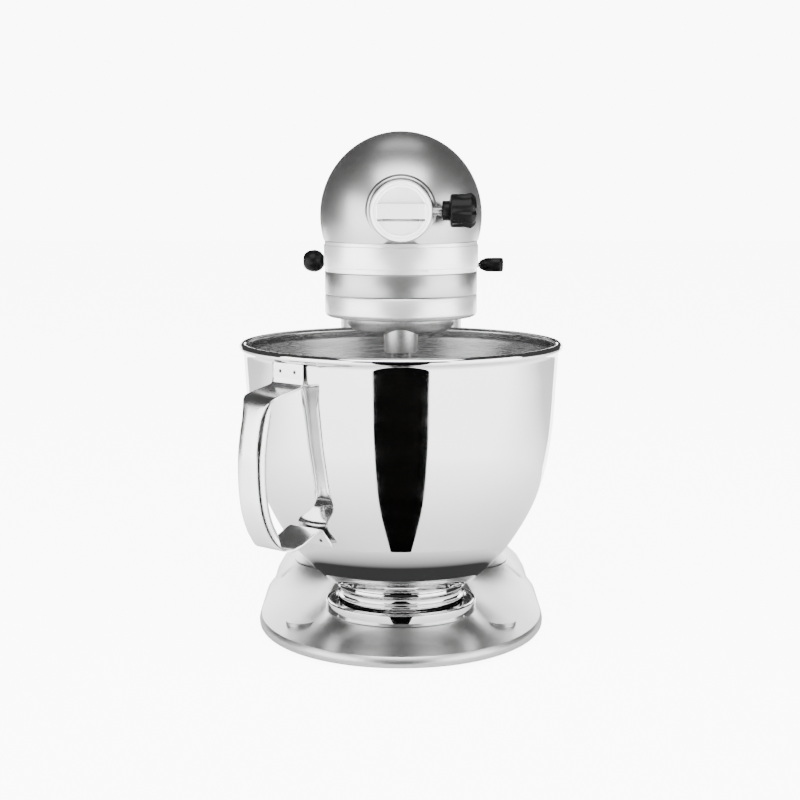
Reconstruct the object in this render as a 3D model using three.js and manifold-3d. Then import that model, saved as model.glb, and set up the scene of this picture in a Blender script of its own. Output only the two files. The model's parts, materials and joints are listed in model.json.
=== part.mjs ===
// Tilt-head planetary stand mixer, as an assembly of separate pieces.
// Millimetres, +Z up, the nose points to -Y. Every place below is measured from the bowl's axis,
// and the last group moves that axis to BOWL_Y so that the object's box is centred on the origin.
import * as THREE from 'three';
import { mergeVertices } from 'three/addons/utils/BufferGeometryUtils.js';
import Module from 'manifold-3d';

const wasm = await Module();
wasm.setup();

// ---- driving dimensions -------------------------------------------------------------------------
const GAP = 0.3;                  // clearance between pieces that touch on the real object
const ROUND = 32;                 // sides of a large round piece
const SMALL_ROUND = 10;           // sides of a pin, screw or shaft

const RIM_RADIUS = 110.5;         // bowl, outside of the rolled bead
const HANDLE_REACH = 117.9;       // how far the handle comes forward of the bowl's axis
const REAR_END = 247.5;           // back of the rear cover
const BOWL_Y = (HANDLE_REACH - REAR_END) / 2;

const BASE = { halfWidth: 102, front: -87, rear: 232, bottom: 2.5, top: 20.7, seam: 31 };
const CLAMP = { radius: 52.3, inner: 48.8, floor: 23, rim: 29.6 };
const BOWL = { floor: 41.5, rim: 206.5, wall: 1.4, bead: 2.6 };
const FOOT = { radius: 44, bottom: CLAMP.floor + GAP };
const COLUMN = { halfWidth: 46, front: 114, rear: 196, top: 241.1 };
const HINGE = { y: 176, z: 221.5, pin: 5, tongue: 14 };

const HEAD = { halfWidth: 51.8, rear: 243, wall: 4 };
const DOME = { centre: 294.7, radius: 56.6, narrow: 0.975, front: -60 };
const BAND = { bottom: 257.1, top: 277.6 };
const LOWER = { bottom: 241.7 };
const DRIP = { bottom: 226.5, inner: 45.6 };
const HUB = { z: 299.5, boss: 20.4, socket: 13, front: -72, back: -30, knobY: -62 };

const MODULE = 2.7;               // tooth size of the planetary gears
const RING_TEETH = 28;
const BEATER_TEETH = 10;
const BEATER_OFFSET = MODULE * (RING_TEETH - BEATER_TEETH) / 2;
const PLANET = { radius: 37.2, bottom: 216, top: 225.6, sleeve: 11, sleeveBottom: 204 };
const WORM_TEETH = 13;
const WHEEL_PINION_TEETH = 7;
const CENTRE_TEETH = 18;
const MOTOR = { z: 300, shaft: 4, worm: 6.9 };
const WHEEL_X = -(MODULE * WORM_TEETH / 2 + MOTOR.worm);
const WHEEL_REACH = MODULE * (WHEEL_PINION_TEETH + CENTRE_TEETH) / 2;
const WHEEL_Y = Math.sqrt(WHEEL_REACH ** 2 - WHEEL_X ** 2);
const LOCK = { y: 146, z: 214, radius: 3.5 };
const HEIGHT_SCREW_Y = 128;
const BRUSH_Y = 184;
const LEVER_Y = 80;
const LEVER_PIVOT = 24;
const CENTRE_SHAFT = 8.6;
const BEATER_SHAFT = 6.4;
const HUB_TEETH = 9;
const CORD_Z = 250;
const SPEED_Z = 256.4;
const LOCK_Z = 259.2;

// ---- materials ----------------------------------------------------------------------------------
function material(color, roughness, metalness) {
  return new THREE.MeshStandardMaterial({ color, roughness, metalness });
}

const paint = () => material(0x9c9c9c, 0.34, 0.75);
const stainless = () => material(0xd4d4d2, 0.12, 1);
const brightTrim = () => material(0xe4e4e4, 0.25, 1);
const castMetal = () => material(0x8f8f8f, 0.45, 0.8);
const steel = () => material(0xb8b8b6, 0.3, 1);
const blackPlastic = () => material(0x0c0c0c, 0.2, 0);
const rubber = () => material(0x1c1c1c, 0.85, 0);
const bronze = () => material(0x9a7440, 0.4, 1);
const copper = () => material(0x9c5a30, 0.4, 0.9);

// ---- solids -------------------------------------------------------------------------------------
function solidOf(geometry) {
  const bare = geometry.clone();
  bare.deleteAttribute('normal');
  bare.deleteAttribute('uv');
  const merged = mergeVertices(bare, 1e-3);
  return new wasm.Manifold(new wasm.Mesh({
    numProp: 3,
    vertProperties: new Float32Array(merged.attributes.position.array),
    triVerts: new Uint32Array(merged.index.array),
  }));
}

function geometryOf(solid) {
  const mesh = solid.getMesh();
  const geometry = new THREE.BufferGeometry();
  geometry.setAttribute('position', new THREE.BufferAttribute(mesh.vertProperties, 3));
  geometry.setIndex(new THREE.BufferAttribute(mesh.triVerts, 1));
  geometry.computeVertexNormals();
  return geometry;
}

function joined(first, ...others) {
  return geometryOf(others.reduce((sum, other) => sum.add(solidOf(other)), solidOf(first)));
}

function cut(first, ...tools) {
  return geometryOf(tools.reduce((rest, tool) => rest.subtract(solidOf(tool)), solidOf(first)));
}

function overlapOf(first, second) {
  return geometryOf(solidOf(first).intersect(solidOf(second)));
}

function box(x0, x1, y0, y1, z0, z1) {
  const geometry = new THREE.BoxGeometry(x1 - x0, y1 - y0, z1 - z0);
  return geometry.translate((x0 + x1) / 2, (y0 + y1) / 2, (z0 + z1) / 2);
}

// A rod from one point to another along X, Y or Z; endRadius makes it a cone.
function rod(start, end, radius, sides = SMALL_ROUND, endRadius = radius) {
  const from = new THREE.Vector3(...start);
  const along = new THREE.Vector3(...end).sub(from);
  const geometry = new THREE.CylinderGeometry(endRadius, radius, along.length(), sides);
  const turn = new THREE.Quaternion().setFromUnitVectors(
    new THREE.Vector3(0, 1, 0), along.clone().normalize());
  return geometry.applyQuaternion(turn).translate(...from.addScaledVector(along, 0.5).toArray());
}

// A hole that a turning shaft of this radius clears, although both have flat sides.
function bore(start, end, shaftRadius, sides = 14) {
  return rod(start, end, (shaftRadius + GAP) / Math.cos(Math.PI / sides), sides);
}

// Turns a list of [radius, z] round the Z axis. A profile off the axis closes on itself.
function turned(profile, sides = ROUND) {
  const points = profile.map(([radius, z]) => new THREE.Vector2(radius, z));
  if (THREE.ShapeUtils.isClockWise(points)) {
    points.reverse();
  }
  if (Math.min(...points.map((point) => point.x)) > 0) {
    points.push(points[0].clone());
  }
  return new THREE.LatheGeometry(points, sides).rotateX(Math.PI / 2);
}

function ring(outer, inner, z0, z1, sides = ROUND) {
  return turned([[inner, z0], [outer, z0], [outer, z1], [inner, z1]], sides);
}

function middleOf(points) {
  return points.reduce((sum, point) => sum.add(point), new THREE.Vector3()).divideScalar(points.length);
}

// A closed skin over rings of equally many points, with a flat fan on each end.
function loft(rings) {
  const count = rings[0].length;
  const points = rings.flat();
  const triangles = [];
  for (let level = 0; level + 1 < rings.length; level += 1) {
    for (let i = 0; i < count; i += 1) {
      const a = level * count + i;
      const b = level * count + (i + 1) % count;
      triangles.push(a, b, b + count, a, b + count, a + count);
    }
  }
  const last = (rings.length - 1) * count;
  points.push(middleOf(rings[0]), middleOf(rings.at(-1)));
  for (let i = 0; i < count; i += 1) {
    const next = (i + 1) % count;
    triangles.push(points.length - 2, next, i, points.length - 1, last + i, last + next);
  }
  const geometry = new THREE.BufferGeometry().setFromPoints(points);
  geometry.setIndex(triangles);
  return geometry;
}

// A plan outline with a rounded front and rear, as [x, y] points, counter-clockwise from above.
function plan(halfWidth, front, rear, { frontLength, rearLength, power = 2, inset = 0, steps = 12 }) {
  const quarter = [];
  for (let i = 0; i <= steps; i += 1) {
    const angle = (i / steps) * Math.PI / 2;
    quarter.push([Math.sin(angle) ** (2 / power), Math.cos(angle) ** (2 / power)]);
  }
  const wide = halfWidth - inset;
  const right = [
    ...quarter.map(([x, y]) => [wide * x, front + frontLength - (frontLength - inset) * y]),
    ...quarter.reverse().map(([x, y]) => [wide * x, rear - rearLength + (rearLength - inset) * y]),
  ];
  const left = right.slice(1, -1).reverse().map(([x, y]) => [-x, y]);
  return [...right, ...left];
}

function atHeight(outline, z) {
  return outline.map(([x, y]) => new THREE.Vector3(x, y, z));
}

function prism(outline, z0, z1) {
  return loft([atHeight(outline, z0), atHeight(outline, z1)]);
}

// A toothed outline. The teeth stop at the pitch circle, so that a turning pair never touches.
function teethOutline(teeth, inner = false) {
  const points = [];
  const depth = inner ? -MODULE * 0.7 : MODULE * 0.7;
  const clearance = inner ? -GAP : GAP;
  for (let tooth = 0; tooth < teeth; tooth += 1) {
    for (const [turn, inward] of [[-0.32, depth], [-0.16, clearance], [0.16, clearance], [0.32, depth]]) {
      const angle = ((tooth + turn) / teeth) * 2 * Math.PI;
      const radius = MODULE * teeth / 2 - inward;
      points.push([radius * Math.cos(angle), radius * Math.sin(angle)]);
    }
  }
  return points;
}

// A gear on the Z axis, with a hole for its shaft; endScale below 1 makes it a bevel gear.
function gear(teeth, z0, z1, bore, endScale = 1) {
  const outline = teethOutline(teeth);
  const end = outline.map(([x, y]) => [x * endScale, y * endScale]);
  return cut(loft([atHeight(outline, z0), atHeight(end, z1)]),
    rod([0, 0, z0 - 5], [0, 0, z1 + 5], bore));
}

// ---- the assembly -------------------------------------------------------------------------------
const mixer = new THREE.Group();
mixer.position.y = BOWL_Y;

function piece(name, geometry, look, at = [0, 0, 0]) {
  const mesh = new THREE.Mesh(geometry, look);
  mesh.name = name;
  mesh.position.set(...at);
  mixer.add(mesh);
  return mesh;
}

// ---- base and column ----------------------------------------------------------------------------
function basePlan(scale) {
  const middle = 30;
  const outline = plan(BASE.halfWidth, BASE.front, BASE.rear,
    { frontLength: 132, rearLength: 120, power: 2.05, steps: 7 });
  return outline.map(([x, y]) => [x * scale, middle + (y - middle) * scale]);
}

// The column's plan at a height: it spreads in a smooth curve towards the base.
function columnPlan(z, inset = 0) {
  const spread = THREE.MathUtils.clamp(1 - (z - BASE.seam) / 92, 0, 1.16) ** 2.6;
  const forward = Math.min(spread, 1);
  return plan(COLUMN.halfWidth + 35 * spread, COLUMN.front - 50 * forward, COLUMN.rear + 23 * spread,
    { frontLength: 30 + 26 * forward, rearLength: 30 + 24 * spread, power: 2.5, inset, steps: 5 });
}

function columnSkin(heights, inset = 0) {
  return loft(heights.map((z) => atHeight(columnPlan(z, inset), z)));
}

function makeBase() {
  const skirt = [[2.5, 0.985], [6, 1], [10, 0.985], [14, 0.93], [17.5, 0.85], [19.6, 0.76], [20.7, 0.66]];
  const hollow = [[1, 0.94], [12, 0.9], [16, 0.72]];
  const top = loft(skirt.map(([z, scale]) => atHeight(basePlan(scale), z)));
  const boss = turned([[0, 10], [60, 10], [53.5, 16], [51.6, BASE.top], [0, BASE.top]]);
  const flare = columnSkin([9, 16, 23, BASE.seam - GAP]);
  const inside = loft(hollow.map(([z, scale]) => atHeight(basePlan(scale), z)));
  const shell = cut(joined(top, boss, flare), inside);
  const pads = footPlaces.map(([x, y]) => rod([x, y, BASE.bottom], [x, y, 14.5], 10));
  const screws = clampScrewPlaces.map(([x, y]) => rod([x, y, 12], [x, y, 30], 2.4));
  const bolts = columnBoltPlaces.map(([x, y]) => joined(
    rod([x, y, 0], [x, y, 40], 3.4), rod([x, y, 0], [x, y, 15.3], 7)));
  return cut(joined(shell, ...pads), ...screws, ...bolts, ...footPlaces.map(footHole));
}

function circlePlaces(count, radius, start, y = 0) {
  return Array.from({ length: count }, (_, i) => {
    const angle = start + (i * 2 * Math.PI) / count;
    return [radius * Math.cos(angle), y + radius * Math.sin(angle)];
  });
}

const footPlaces = [[-70, -8], [70, -8], [-74, 150], [74, 150], [0, 205]];
const clampScrewPlaces = circlePlaces(3, 26, Math.PI / 2);
const columnBoltPlaces = [[-36, 100], [36, 100], [0, 172]];

function footHole([x, y]) {
  return rod([x, y, 0], [x, y, 8], 4 + GAP);
}

function makeFoot() {
  return turned([[0, 0], [7.4, 0], [8.2, 1], [8.2, BASE.bottom - GAP], [4, BASE.bottom - GAP],
    [4, 7.4], [0, 7.4]], SMALL_ROUND);
}

function makeClampRing() {
  const plate = turned([[0, BASE.top + GAP], [CLAMP.radius - 1.2, BASE.top + GAP],
    [CLAMP.radius, 22.6], [CLAMP.radius, CLAMP.rim - 1], [CLAMP.radius - 1.4, CLAMP.rim],
    [CLAMP.inner, CLAMP.rim], [CLAMP.inner, CLAMP.floor], [0, CLAMP.floor]]);
  return cut(plate, ...clampScrewPlaces.map(([x, y]) => rod([x, y, 15], [x, y, 30], 2.4)),
    ...clampScrewPlaces.map(([x, y]) => rod([x, y, 22], [x, y, 30], 4.6)));
}

function makeClampScrew() {
  return turned([[0, 14], [2.1, 14], [2.1, 22.2], [4.2, 22.2], [4.2, 22.9], [0, 22.9]], SMALL_ROUND);
}

function makeColumn() {
  const skin = columnSkin([BASE.seam, 36, 43, 52, 64, 80, 100, 123, 180, COLUMN.top]);
  const inside = columnSkin([BASE.seam + 7, 50, 64, 80, 123, 205], 6);
  const slot = box(-HINGE.tongue - 1, HINGE.tongue + 1, 158, 230, 200, 260);
  const rolled = cut(box(-60, 60, HINGE.y, 260, HINGE.z, 260),
    rod([-70, HINGE.y, HINGE.z], [70, HINGE.y, HINGE.z], LOWER.bottom - HINGE.z - 0.7, ROUND));
  const pin = rod([-70, HINGE.y, HINGE.z], [70, HINGE.y, HINGE.z], HINGE.pin + GAP);
  const lock = rod([-70, LOCK.y, LOCK.z], [70, LOCK.y, LOCK.z], LOCK.radius + GAP);
  const screw = rod([0, HEIGHT_SCREW_Y, 190], [0, HEIGHT_SCREW_Y, 260], 3.4);
  const holes = columnBoltPlaces.map(([x, y]) => rod([x, y, 20], [x, y, 60], 3.4));
  return cut(skin, inside, slot, rolled, pin, lock, screw, ...holes);
}

function makeColumnBolt() {
  return turned([[0, 9], [6, 9], [6, 15], [3, 15], [3, 42], [0, 42]], SMALL_ROUND);
}

piece('base_casting', makeBase(), paint());
footPlaces.forEach(([x, y], i) => piece(`rubber_foot_${i + 1}`, makeFoot(), rubber(), [x, y, 0]));
piece('bowl_clamp_plate', makeClampRing(), stainless());
clampScrewPlaces.forEach(([x, y], i) => {
  piece(`clamp_screw_${i + 1}`, makeClampScrew(), steel(), [x, y, 0]);
});
piece('pedestal_column', makeColumn(), paint());

columnBoltPlaces.forEach(([x, y], i) => {
  piece(`column_bolt_${i + 1}`, makeColumnBolt(), steel(), [x, y, 0]);
});
piece('hinge_pin', rod([-45.2, HINGE.y, HINGE.z], [45.2, HINGE.y, HINGE.z], HINGE.pin), steel());
piece('lock_bolt', rod([-44, LOCK.y, LOCK.z], [44, LOCK.y, LOCK.z], LOCK.radius), steel());
piece('height_screw', rod([0, HEIGHT_SCREW_Y, 192], [0, HEIGHT_SCREW_Y, 239.5], 3.1), steel());

// ---- bowl ---------------------------------------------------------------------------------------
const bowlCurve = new THREE.CatmullRomCurve3([[44, 41.5], [54, 47.5], [74.5, 68.5], [93.6, 102.3],
  [102.9, 140.2], [106.4, 185], [107.6, 203]].map(([r, z]) => new THREE.Vector3(r, 0, z)));

function bowlWall(steps, inset) {
  return bowlCurve.getSpacedPoints(steps).map((point, i) => {
    const along = bowlCurve.getTangentAt(i / steps);
    return [point.x - along.z * inset, point.z + along.x * inset];
  });
}

function makeBowl() {
  const steps = 8;
  const bead = [];
  for (let turn = -60; turn <= 180; turn += 60) {
    const angle = THREE.MathUtils.degToRad(turn);
    bead.push([RIM_RADIUS - BOWL.bead + BOWL.bead * Math.cos(angle),
      BOWL.rim + BOWL.bead * Math.sin(angle)]);
  }
  bead[0][0] = RIM_RADIUS - 1.2;
  const inside = bowlWall(steps, BOWL.wall).reverse();
  const widest = [RIM_RADIUS, BOWL.rim];
  const rim = [bead[0], widest, ...bead.slice(2)];
  return turned([[0, BOWL.floor], ...bowlWall(steps, 0), ...rim, ...inside.slice(1),
    [0, BOWL.floor + BOWL.wall]], 40);
}

function makeFootRing() {
  return turned([[38.5, FOOT.bottom], [43.5, FOOT.bottom], [43.5, 32.5], [41.6, 33.6], [41.6, 38.2],
    [FOOT.radius, 39.6], [FOOT.radius, BOWL.floor - GAP], [34, BOWL.floor - GAP], [34, 39], [38.5, 35]]);
}

// The handle is one bent strap in the plane through the bowl's axis, so it is drawn flat, as
// [distance from the axis, height], and turned to its place.
const HANDLE = { turn: THREE.MathUtils.degToRad(-132), width: 26, thick: 1.6 };

function makeHandle() {
  const route = [[108.8, 202.8], [108.5, 191], [110.5, 188.4], [131, 184.4], [137.5, 179.5], [142.8, 164],
    [145.4, 142], [144.4, 116], [138.4, 97], [130, 86.4], [120, 83], [110, 84.6], [94.5, 91.8],
    [90.6, 91.4], [86.8, 84.8], [83.2, 78.8]];
  const shape = new THREE.Shape();
  const thick = HANDLE.thick;
  const normals = route.map((point, i) => {
    const before = route[Math.max(0, i - 1)];
    const after = route[Math.min(route.length - 1, i + 1)];
    const length = Math.hypot(after[0] - before[0], after[1] - before[1]);
    return [(after[1] - before[1]) / length, -(after[0] - before[0]) / length];
  });
  const far = route.map(([r, z], i) => [r - normals[i][0] * thick, z - normals[i][1] * thick]);
  [...route, ...far.reverse()].forEach(([r, z], i) => shape[i === 0 ? 'moveTo' : 'lineTo'](r, z));
  const strap = new THREE.ExtrudeGeometry(shape, { depth: HANDLE.width, bevelEnabled: false })
    .translate(0, 0, -HANDLE.width / 2).rotateX(Math.PI / 2);
  const room = turned([[0, 30], ...bowlWall(24, -GAP), [111.5, 203.4], [111.5, 212], [0, 212]], 112);
  return cut(strap, rotated(room, -HANDLE.turn)).rotateZ(HANDLE.turn);
}

function rotated(geometry, angle) {
  return geometry.rotateZ(angle);
}

piece('bowl_shell', makeBowl(), stainless());
piece('bowl_foot', makeFootRing(), stainless());
piece('bowl_handle', makeHandle(), stainless());

// ---- head shells --------------------------------------------------------------------------------
function headPlan(inset = 0) {
  return plan(HEAD.halfWidth, -HEAD.halfWidth, HEAD.rear,
    { frontLength: HEAD.halfWidth, rearLength: 58, power: 2.15, inset, steps: 8 });
}

// The upper shell: round sections along the head, each ending on the seam with the trim band.
function domeSkin(inset, seam) {
  const along = [0, 0.025, 0.1, 0.25, 0.5, 1];
  const front = along.map((t) => [DOME.front + inset + t * (66 - inset), t]);
  const rear = along.map((t) => [HEAD.rear - inset - t * (70 - inset), t]).reverse();
  return loft([...front, ...rear].map(([y, t]) => {
    const size = Math.sqrt(1 - (1 - t) ** 2);
    const radius = Math.max(0.4, (DOME.radius - inset) * size);
    return domeSection(radius, DOME.centre - 4 * (1 - size), seam).map(([x, z]) =>
      new THREE.Vector3(x, y, z));
  }));
}

function domeSection(radius, centre, seam) {
  const points = [];
  const steps = 14;
  const lowest = Math.asin(Math.min(0.999, Math.max(0, centre - seam) / radius));
  const reach = Math.min(lowest, 0.95);
  for (let i = 0; i <= steps; i += 1) {
    const angle = -reach + (i / steps) * (Math.PI + 2 * reach);
    points.push([DOME.narrow * radius * Math.cos(angle), centre + radius * Math.sin(angle)]);
  }
  return points.reverse();
}

function makeUpperHousing() {
  const outer = domeSkin(0, BAND.top);
  const inner = domeSkin(HEAD.wall, BAND.top);
  const below = box(-80, 80, -90, 260, 200, BAND.top + GAP);
  const boss = rod([0, HUB.front + 1, HUB.z], [0, -30, HUB.z], HUB.boss, 32);
  const bossHole = rod([0, -80, HUB.z], [0, HUB.back, HUB.z], HUB.socket + 5 + GAP, 32);
  const stud = bore([10, HUB.knobY, HUB.z], [70, HUB.knobY, HUB.z], 3);
  const brushes = rod([-80, BRUSH_Y, MOTOR.z], [80, BRUSH_Y, MOTOR.z], 6.3);
  const cover = box(-80, 80, HEAD.rear - 14, 260, 200, 360);
  const flange = cut(prism(headPlan(0.6), BAND.top + GAP, BAND.top + 3),
    prism(headPlan(6), BAND.top - 5, BAND.top + 8));
  return cut(joined(cut(outer, inner), flange, boss), below, bossHole, stud, brushes, cover,
    domeSkin(HEAD.wall + 12, BAND.top));
}

function makeTrimBand() {
  const ringShape = cut(prism(headPlan(), BAND.bottom + GAP, BAND.top),
    prism(headPlan(1.2), BAND.bottom - 5, BAND.top + 5));
  const raised = cut(prism(headPlan(-0.5), BAND.bottom + 3.6, BAND.top - 2.6),
    prism(headPlan(0.6), BAND.bottom - 5, BAND.top + 5));
  const speed = box(40, 70, LEVER_Y - 24, LEVER_Y + 6, SPEED_Z - 3, SPEED_Z + 3.4);
  const lock = box(-70, -40, LEVER_Y - 6, LEVER_Y + 24, LOCK_Z - 3, LOCK_Z + 3);
  return cut(joined(ringShape, raised), speed, lock);
}

function makeLowerHousing() {
  const inset = 1.2 + GAP;
  const skirt = prism(headPlan(), LOWER.bottom, BAND.bottom);
  const collar = prism(headPlan(inset), BAND.bottom - 2, BAND.top);
  const hollow = prism(headPlan(HEAD.wall + 1.5), LOWER.bottom + 5, 300);
  const tongue = rod([-HINGE.tongue, HINGE.y, HINGE.z], [HINGE.tongue, HINGE.y, HINGE.z], 13, ROUND);
  const neck = box(-HINGE.tongue, HINGE.tongue, HINGE.y - 13, HINGE.y + 13, HINGE.z, LOWER.bottom + 2);
  const pin = bore([-70, HINGE.y, HINGE.z], [70, HINGE.y, HINGE.z], HINGE.pin);
  const shaft = bore([0, 0, 200], [0, 0, 260], CENTRE_SHAFT);
  const speed = box(36, 70, LEVER_Y - 24, LEVER_Y + 6, SPEED_Z - 3, SPEED_Z + 3.4);
  const lock = box(-70, -36, LEVER_Y - 6, LEVER_Y + 24, LOCK_Z - 3, LOCK_Z + 3);
  const pivots = [-LEVER_PIVOT, LEVER_PIVOT].map((x) => rod([x, LEVER_Y, 244], [x, LEVER_Y, 263], 2.3));
  const cord = rod([0, 200, CORD_Z], [0, 260, CORD_Z], 5 + GAP);
  return cut(joined(cut(joined(skirt, collar), hollow), tongue, neck, ...pivots),
    pin, shaft, speed, lock, cord);
}

function makeRearCover() {
  const flange = prism(headPlan(0.6), BAND.top + GAP, BAND.top + 3);
  const outer = overlapOf(joined(domeSkin(0, BAND.top), flange),
    box(-80, 80, HEAD.rear - 14 + GAP, 260, BAND.top + GAP, 360));
  const cap = rod([0, HEAD.rear - 8, 303], [0, REAR_END, 303], 17, 24, 13);
  return cut(joined(outer, cap), domeSkin(HEAD.wall, BAND.top),
    rod([0, 200, 303], [0, 260, 303], 2.6),
    rod([0, REAR_END - 2.2, 303], [0, 260, 303], 5.4));
}

piece('upper_housing', makeUpperHousing(), paint());
piece('trim_band', makeTrimBand(), brightTrim());
piece('lower_housing', makeLowerHousing(), paint());
piece('rear_cover', makeRearCover(), paint());
piece('drip_ring', turned([[DRIP.inner, DRIP.bottom], [48.4, DRIP.bottom], [51, 228.4], [51.8, 231.4],
  [51.8, LOWER.bottom - GAP], [DRIP.inner, LOWER.bottom - GAP]], 40), brightTrim());

piece('rear_cover_screw', turned([[0, 238], [2.2, 238], [2.2, 244], [4.4, 244], [4.4, 245.6],
  [0, 245.6]], SMALL_ROUND).rotateX(-Math.PI / 2), steel(), [0, 1.6, 303]);
piece('cord_grommet', turned([[3.4, -8], [5, -8], [5, -0.6], [7.5, -0.6], [6.6, 3], [3.4, 3]],
  SMALL_ROUND).rotateX(-Math.PI / 2), rubber(), [0, HEAD.rear + 1, CORD_Z]);

// ---- attachment hub -----------------------------------------------------------------------------
function alongFront(profile, sides = 32) {
  return turned(profile, sides).rotateX(Math.PI / 2);
}

function makeHubLiner() {
  const liner = alongFront([[HUB.socket, -HUB.back], [HUB.socket + 5, -HUB.back],
    [HUB.socket + 5, -HUB.front], [HUB.socket, -HUB.front]]);
  return cut(liner, bore([5, HUB.knobY, 0], [30, HUB.knobY, 0], 3));
}

function makeHubCap() {
  const disc = alongFront([[0, 52], [12.6, 52], [12.6, 72 + GAP], [19.4, 72 + GAP], [19.4, 74.4],
    [18.6, 75.2], [16.6, 75.2], [16, 74.4], [0, 74.4]]);
  return joined(disc, box(-15.8, 15.8, -76.2, -74, -4.6, 4.6));
}

function makeKnob() {
  const body = turned([[0, 26.6], [6.4, 26.6], [6.4, 31.4], [9.2, 31.8], [10.6, 33.6], [10.6, 42],
    [9.4, 46], [6, 48.2], [0, 48.6]], 24);
  const flutes = circlePlaces(6, 12.4, 0).map(([x, y]) => rod([x, y, 33], [x, y, 50], 3, 10));
  return cut(body, ...flutes).rotateY(Math.PI / 2);
}

piece('attachment_hub', makeHubLiner(), castMetal(), [0, 0, HUB.z]);
piece('hub_cap', makeHubCap(), brightTrim(), [0, 0, HUB.z]);
piece('attachment_knob', makeKnob(), blackPlastic(), [0, HUB.knobY, HUB.z]);
piece('attachment_knob_stud', rod([13.6, 0, 0], [26.6 - GAP, 0, 0], 3), steel(),
  [0, HUB.knobY, HUB.z]);

// ---- planetary drive ----------------------------------------------------------------------------
function makeRingGear() {
  const rim = new THREE.Shape().absarc(0, 0, DRIP.inner - GAP, 0, 2 * Math.PI, false);
  const teeth = teethOutline(RING_TEETH, true).map(([x, y]) => new THREE.Vector2(x, y));
  rim.holes.push(new THREE.Path(teeth));
  return new THREE.ExtrudeGeometry(rim, { depth: 11, bevelEnabled: false, curveSegments: 24 })
    .translate(0, 0, LOWER.bottom - GAP - 11);
}

function makePlanetary() {
  const body = turned([[0, PLANET.bottom], [28, PLANET.bottom], [32.4, 217.4], [35.6, 220.4],
    [PLANET.radius, 224.2], [PLANET.radius, PLANET.top], [0, PLANET.top]]);
  const sleeve = rod([0, -BEATER_OFFSET, PLANET.sleeveBottom], [0, -BEATER_OFFSET, PLANET.top],
    PLANET.sleeve, 24);
  return cut(joined(body, sleeve), rod([0, 0, 219], [0, 0, 240], CENTRE_SHAFT + GAP),
    bore([0, -BEATER_OFFSET, 200], [0, -BEATER_OFFSET, 240], BEATER_SHAFT));
}

piece('ring_gear', makeRingGear(), castMetal());
piece('planetary_hub', makePlanetary(), castMetal());
piece('centre_shaft', rod([0, 0, 219 + GAP], [0, 0, 290], CENTRE_SHAFT), steel());
piece('centre_gear', joined(gear(CENTRE_TEETH, 267, 275, CENTRE_SHAFT + GAP),
  ring(20, CENTRE_SHAFT + GAP, 274, 281), gear(CENTRE_TEETH, 280, 285, CENTRE_SHAFT + GAP, 0.8)),
steel());

const beater = [0, -BEATER_OFFSET, 0];
piece('beater_shaft', cut(rod([0, 0, 166], [0, 0, 240.8], BEATER_SHAFT),
  rod([-20, 0, 178], [20, 0, 178], 2.3 + GAP, 10)), steel(), beater);
piece('beater_pinion', gear(BEATER_TEETH, 230.6, 240.4, BEATER_SHAFT + GAP), steel(), beater);
piece('beater_cross_pin', rod([-9.5, 0, 178], [9.5, 0, 178], 2.3, 10), steel(), beater);

const hubGear = joined(cut(gear(HUB_TEETH, 16, 23, 1, 1), rod([0, 0, 10], [0, 0, 30], 4)),
  rod([0, 0, 16], [0, 0, 29.6], 6));
piece('hub_bevel_gear', hubGear.rotateX(Math.PI / 2), steel(), [0, 0, HUB.z]);

// ---- worm drive and motor -----------------------------------------------------------------------
const wheel = [WHEEL_X, WHEEL_Y, 0];
piece('wheel_shaft', rod([0, 0, 259], [0, 0, 309], 4), steel(), wheel);
piece('wheel_pinion', gear(WHEEL_PINION_TEETH, 266.6, 275.4, 4 + GAP), steel(), wheel);
piece('worm_wheel', gear(WORM_TEETH, 296, 304, 4 + GAP), bronze(), wheel);

function alongMotor(profile, sides = SMALL_ROUND) {
  return turned(profile, sides).rotateX(-Math.PI / 2);
}

function makeArmatureShaft() {
  const worm = [];
  for (let y = WHEEL_Y - 12; y < WHEEL_Y + 12; y += 6) {
    worm.push([MOTOR.worm - 1.6, y], [MOTOR.worm - GAP, y + 0.8], [MOTOR.worm - GAP, y + 1.8],
      [MOTOR.worm - 1.6, y + 2.6]);
  }
  return alongMotor([[0, 8], [MOTOR.shaft, 8], ...worm, [MOTOR.shaft, WHEEL_Y + 13],
    [MOTOR.shaft, 214], [0, 214]]);
}

function makeFan() {
  const blades = circlePlaces(5, 20, 0).map(([x, z]) =>
    box(-10, 10, 61, 69, -0.9, 0.9).rotateY(-Math.atan2(z, x)).translate(x, 0, z));
  return joined(alongMotor([[MOTOR.shaft + GAP, 60], [30, 60], [30, 62], [11, 62], [11, 70],
    [MOTOR.shaft + GAP, 70]], 32), ...blades);
}

function makeCore() {
  const body = alongMotor([[MOTOR.shaft + GAP, 94], [25, 94], [25, 150], [MOTOR.shaft + GAP, 150]], 36);
  const slots = circlePlaces(9, 25, 0).map(([x, z]) => rod([x, 90, z], [x, 160, z], 1.8, 8));
  return cut(body, ...slots);
}

function makeCase() {
  const drum = cut(turned([[0, 246.7 + GAP], [42, 246.7 + GAP], [42, 264], [0, 264]]),
    turned([[0, 240], [38, 240], [38, 260], [0, 260]]));
  const shelf = box(-30, 14, 0, 56, 260, 264);
  const tower = box(-13, 13, 45, 55, 262, MOTOR.z + 13);
  return cut(joined(drum, shelf, tower), bore([0, 0, 240], [0, 0, 270], CENTRE_SHAFT),
    bore([WHEEL_X, WHEEL_Y, 240], [WHEEL_X, WHEEL_Y, 270], 4),
    rod([0, 40, MOTOR.z], [0, 60, MOTOR.z], 9 + GAP, 24));
}

function makeStator() {
  const body = alongMotor([[26.2, 96], [42, 96], [42, 148], [26.2, 148]], 40);
  const trimmed = overlapOf(body, box(-39, 39, 90, 160, -42, 42));
  return joined(trimmed, box(-16, 16, 100, 144, LOWER.bottom + 5 + GAP - MOTOR.z, -34));
}

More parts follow.
